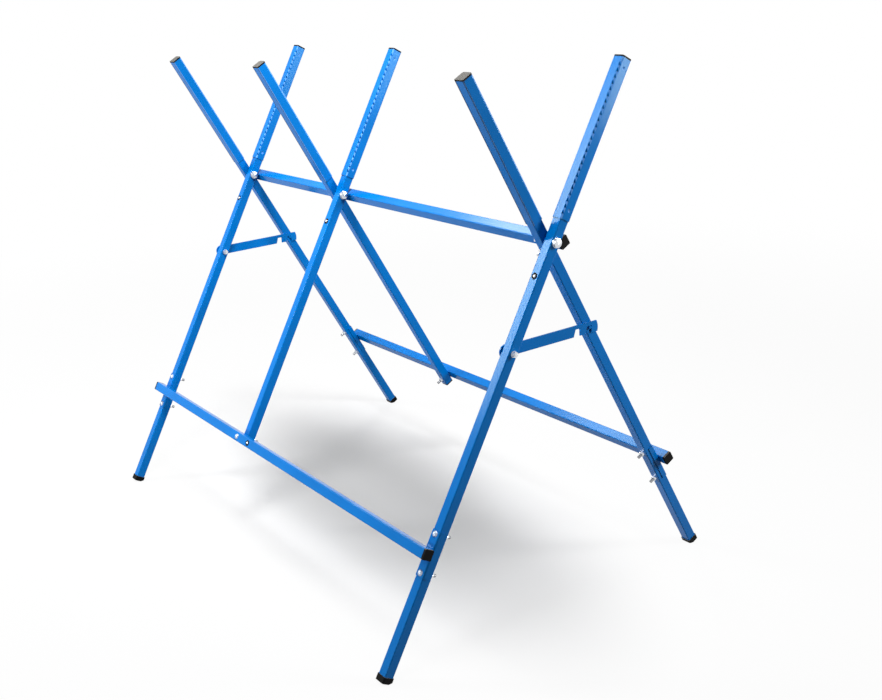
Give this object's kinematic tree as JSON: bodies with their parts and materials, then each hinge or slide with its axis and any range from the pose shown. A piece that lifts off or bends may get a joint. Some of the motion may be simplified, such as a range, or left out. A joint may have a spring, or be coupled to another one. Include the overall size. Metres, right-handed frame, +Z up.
{
  "type": "log saw stand",
  "caption": "Folding saw stand of square steel tube: X frames with toothed arms hold a log for sawing, joined by rails and locked open by notched stays.",
  "frame": {"origin": "middle of the stand's outline on the floor", "axes": "+X along the log and the rails, to the right seen from the front; +Y to the rear; +Z up"},
  "size_m": [1.1538, 0.8168, 1.0138],
  "materials": {
    "blue_paint": "gloss",
    "zinc_steel": "bright zinc",
    "black_plastic": "matte"
  },
  "bodies": {
    "front_frame": {"front_bar_left": "blue_paint", "front_bar_middle": "blue_paint", "front_bar_right": "blue_paint", "front_foot_left": "blue_paint", "front_foot_right": "blue_paint", "front_rail": "blue_paint", "front_bracket_left": "blue_paint", "front_bracket_right": "blue_paint", "front_channel_left": "blue_paint", "front_channel_middle": "blue_paint", "front_channel_right": "blue_paint", "front_foot_caps": "black_plastic", "front_top_caps": "black_plastic", "front_rail_caps": "black_plastic", "front_middle_cap": "black_plastic", "front_bracket_bolts": "zinc_steel", "front_bracket_nuts": "zinc_steel", "front_middle_bolt": "zinc_steel", "front_middle_washer": "zinc_steel", "front_middle_nut": "zinc_steel", "front_screws": "zinc_steel", "front_screw_rings": "black_plastic", "pivot_bolts": "zinc_steel", "pivot_spacers": "zinc_steel", "pivot_washers": "zinc_steel", "pivot_nuts": "zinc_steel", "stay_bolts": "zinc_steel", "stay_washers": "zinc_steel", "stay_nuts": "zinc_steel"},
    "rear_frame": {"rear_bar_left": "blue_paint", "rear_bar_middle": "blue_paint", "rear_bar_right": "blue_paint", "rear_foot_left": "blue_paint", "rear_foot_right": "blue_paint", "rear_rail": "blue_paint", "top_rail": "blue_paint", "rear_bracket_left": "blue_paint", "rear_bracket_right": "blue_paint", "rear_channel_left": "blue_paint", "rear_channel_middle": "blue_paint", "rear_channel_right": "blue_paint", "rear_foot_caps": "black_plastic", "rear_top_caps": "black_plastic", "rear_rail_caps": "black_plastic", "top_rail_caps": "black_plastic", "rear_middle_cap": "black_plastic", "rear_bracket_bolts": "zinc_steel", "rear_bracket_nuts": "zinc_steel", "rear_middle_bolt": "zinc_steel", "rear_middle_washer": "zinc_steel", "rear_middle_nut": "zinc_steel", "top_rail_bolts": "zinc_steel", "top_rail_nuts": "zinc_steel", "latch_pins": "zinc_steel"},
    "stay_left": {"stay_left": "blue_paint"},
    "stay_right": {"stay_right": "blue_paint"}
  },
  "joints": [
    {"name": "fold", "type": "hinge", "parent": "front_frame", "child": "rear_frame", "pos_m": [0, 0, 0.714], "axis": [-1, 0, 0], "range_deg": [0, 50]},
    {"name": "stay_left_lift", "type": "hinge", "parent": "front_frame", "child": "stay_left", "pos_m": [-0.5472, -0.09952, 0.53592], "axis": [1, 0, 0], "range_deg": [0, 46]},
    {"name": "stay_right_lift", "type": "hinge", "parent": "front_frame", "child": "stay_right", "pos_m": [0.5468, -0.09952, 0.53592], "axis": [1, 0, 0], "range_deg": [0, 46]}
  ],
  "couplings": [
    {"joint": "stay_left_lift", "follows": "fold", "ratio": 0.9},
    {"joint": "stay_right_lift", "follows": "fold", "ratio": 0.9}
  ]
}
